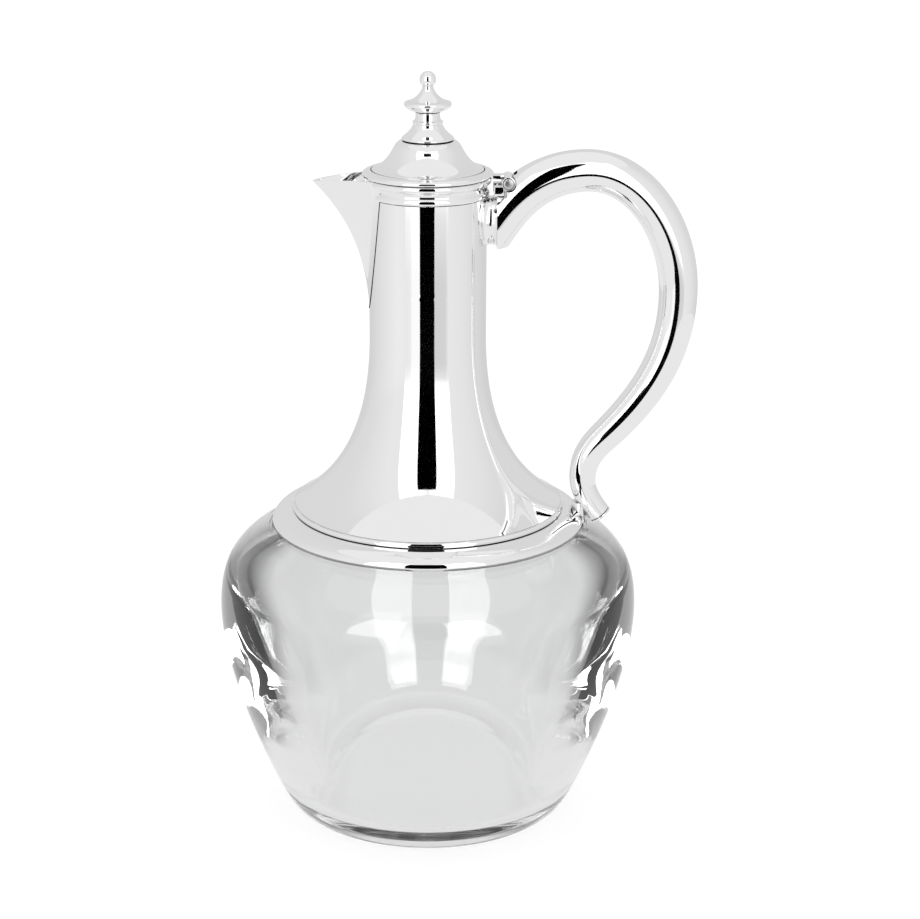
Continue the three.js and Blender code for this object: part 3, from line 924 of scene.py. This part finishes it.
def nut():
    """A six-sided nut with turned-down corners."""
    base, top = low("finial_nut", "z"), high("finial_nut", "z")
    corner = high("finial_nut", "y")
    hole = STUD_RADIUS + GAP
    angles = np.arange(6) * math.pi / 3 + math.pi / 6
    hexagon = np.column_stack([corner * np.cos(angles), corner * np.sin(angles)])
    made = loft("nut", [np.column_stack([hexagon, np.full(6, z)]) for z in (base, top)])
    cone = outline(
        (0, base - 1),
        (corner * 0.8, base - 1),
        (corner * 1.2, base + 1),
        (corner * 1.2, top + 1),
        (0, top + 1),
    )
    combine(made, [lathe("chamfer", cone, segments=64)], "INTERSECT")
    bore = outline((0, base - 2), (hole, base - 2), (hole, top + 2), (0, top + 2))
    combine(made, [lathe("bore", bore, segments=48)], "DIFFERENCE")
    bevel(made, 0.1)
    place(made, "lid", "steel", "finial_nut")


glass_body()
shoulder_cement()
neck_seal()
neck_sleeve()
spout()
rim_moulding()
collar_band()
handle()
handle_socket()
foot_pad()
fixed_knuckle("front")
fixed_knuckle("back")
hinge_pin()
lid_knuckle()
lid_flange()
lid_dome()
lid_bezel()
finial_pedestal()
finial()
washer()
nut()


# ---- studio (metres, and degrees of the compass from the camera round to the jug's right) ----
FLOOR_LEVEL = -0.0004
TABLE_LEVEL = -0.0002  # of the two cards that stand for the table
TENT_RADIUS = 0.62
TENT_HEIGHT = 1.0
GAP_LEFT, GAP_RIGHT = -15.3, 12.7
# (distance, height) up the dark shape round the camera, nearest the jug at the height of the handle
GAP_RISE = ((0.6, 0), (0.6, 0.14), (0.24, 0.18), (0.24, 0.36), (0.6, 0.86))
WORLD_LIGHT = 0.86
FLOOR_LIGHT = 0.85
TABLE_REFLECTED_LIGHT = 0.84
# (compass angle, brightness) of the tent in the jug's reflections, at table height and above it
TABLE_LIGHT = (
    (-180, 0.66), (-140, 0.68), (-100, 0.78), (-60, 0.88), (-40, 0.85), (-34, 0.88), (-30, 1.02),
    (-15, 1.02), (12, 0.66), (34, 0.68), (40, 0.84), (75, 0.8), (100, 0.74), (140, 0.66), (180, 0.66),
)
UPPER_LIGHT = (
    (-180, 0.7), (-110, 0.74), (-60, 0.84), (-44, 0.84), (-43, 1.7), (-16, 1.7), (0, 0.9), (12, 1.7),
    (39, 1.7), (40, 0.84), (75, 0.8), (110, 0.72), (180, 0.7),
)
# the same of the tent as it shows through the glass
GLASS_TABLE_LIGHT = (
    (-180, 0.7), (-165, 0.7), (-150, 0.2), (-50, 0.2), (-30, 0.6), (30, 0.6), (50, 0.2), (150, 0.2),
    (165, 0.7), (180, 0.7),
)
GLASS_UPPER_LIGHT = (
    (-180, 0.7), (-165, 0.7), (-150, 0.2), (-44, 0.2), (-43, 5), (-16, 5), (-15, 0), (11, 0), (12, 5),
    (39, 5), (40, 0.2), (150, 0.2), (165, 0.7), (180, 0.7),
)
# (distance to either side, brightness) of the table through the glass: dark beside the jug
GLASS_GROUND_LIGHT = ((0.08, 0.76), (0.1, 0.08), (0.45, 0.1), (0.62, 0.3))


def floor():
    """A pale sweep, lit from within like a light table so that it stays white."""
    half = 8.0
    corners = [(-half, -half, 0), (half, -half, 0), (half, half, 0), (-half, half, 0)]
    mesh = bpy.data.meshes.new("floor")
    mesh.from_pydata(corners, [], [(0, 1, 2, 3)])
    made = add_object("floor", mesh)
    made.location.z = FLOOR_LEVEL
    material, _, shader = new_material("floor_pale")
    shader.inputs["Base Color"].default_value = (0.25, 0.25, 0.25, 1)
    shader.inputs["Roughness"].default_value = 0.9
    shader.inputs["Specular IOR Level"].default_value = 0
    shader.inputs["Emission Color"].default_value = (1, 1, 1, 1)
    shader.inputs["Emission Strength"].default_value = FLOOR_LIGHT
    made.data.materials.append(material)


def glow(name, layer):
    """A material that shines with the colours stored at the mesh's corners."""
    material = bpy.data.materials.new(name)
    material.use_nodes = True
    tree = material.node_tree
    tree.nodes.clear()
    output = tree.nodes.new("ShaderNodeOutputMaterial")
    emission = tree.nodes.new("ShaderNodeEmission")
    colour = tree.nodes.new("ShaderNodeVertexColor")
    colour.layer_name = layer
    tree.links.new(colour.outputs["Color"], emission.inputs["Color"])
    tree.links.new(emission.outputs["Emission"], output.inputs["Surface"])
    return material


def reflector(name, vertices, faces, brightness, glossy=True, through=True):
    """A glowing sheet that only the jug sees, in its reflections or through its glass."""
    mesh = bpy.data.meshes.new(name)
    mesh.from_pydata(vertices, [], faces)
    layer = mesh.color_attributes.new("brightness", "FLOAT_COLOR", "POINT")
    levels = np.broadcast_to(np.asarray(brightness, float), (len(vertices),))
    colours = np.column_stack([levels, levels, levels, np.ones(len(vertices))])
    layer.data.foreach_set("color", colours.ravel())
    made = add_object(name, mesh)
    made.data.materials.append(glow(name, "brightness"))
    made.visible_camera = False
    made.visible_diffuse = False
    made.visible_shadow = False
    made.visible_glossy = glossy
    made.visible_transmission = through


def arc_points(angles, radius, height):
    """Points round the jug; the camera is at 0 degrees."""
    return [(radius * math.sin(a), -radius * math.cos(a), height) for a in np.radians(angles)]


def tent(name, table_light, upper_light, glossy, through):
    """The white tent round the jug, with a soft change of brightness at table height."""
    table_angles, table_levels = zip(*table_light)
    upper_angles, upper_levels = zip(*upper_light)
    angles = np.unique(np.concatenate([table_angles, upper_angles, np.arange(-180, 181, 3)]))
    heights = (0, 0.06, 0.1, 0.14, TENT_HEIGHT)
    shares = (0, 0, 0.15, 1, 1)  # of the upper light, at each height
    vertices, levels = [], []
    for height, share in zip(heights, shares):
        vertices += arc_points(angles, TENT_RADIUS, height)
        table = np.interp(angles, table_angles, table_levels)
        upper = np.interp(angles, upper_angles, upper_levels)
        levels.append(table + (upper - table) * share)
    reflector(name, vertices, quads(len(heights), len(angles)), np.concatenate(levels), glossy, through)


def gap_in_tent():
    """The dark opening that the camera looks through."""
    angles = np.linspace(GAP_LEFT, GAP_RIGHT, 12)
    vertices = []
    for distance, height in GAP_RISE:
        vertices += arc_points(angles, distance, height)
    reflector("camera_gap", vertices, quads(len(GAP_RISE), len(angles)), 0, through=False)


def ground_light():
    """What the jug reflects and shows of the table round it."""
    rim = arc_points(np.arange(-180, 180, 6), TENT_RADIUS, TABLE_LEVEL)
    reflector("table_reflected", rim, [tuple(range(len(rim)))], TABLE_REFLECTED_LIGHT, through=False)
    across = np.linspace(-TENT_RADIUS, TENT_RADIUS, 125)
    vertices = [(x, y, TABLE_LEVEL) for y in (-TENT_RADIUS, TENT_RADIUS) for x in across]
    levels = np.interp(np.abs(across), *zip(*GLASS_GROUND_LIGHT))
    reflector("table_through_glass", vertices, quads(2, len(across)), np.tile(levels, 2), glossy=False)


def studio():
    """The pale table and the white tent that light the jug."""
    world = bpy.data.worlds.new("world")
    world.use_nodes = True
    background = world.node_tree.nodes["Background"]
    background.inputs["Color"].default_value = (1, 1, 1, 1)
    background.inputs["Strength"].default_value = WORLD_LIGHT
    bpy.context.scene.world = world
    bpy.context.scene.view_settings.view_transform = "Standard"
    floor()
    tent("tent_reflected", TABLE_LIGHT, UPPER_LIGHT, glossy=True, through=False)
    tent("tent_through_glass", GLASS_TABLE_LIGHT, GLASS_UPPER_LIGHT, glossy=False, through=True)
    gap_in_tent()
    ground_light()


studio()


def allow_long_light_paths():
    """Light bounces many times inside thick glass and between mirror surfaces."""
    cycles = bpy.context.scene.cycles
    cycles.glossy_bounces = 24
    cycles.transmission_bounces = 24
    cycles.max_bounces = 36


allow_long_light_paths()
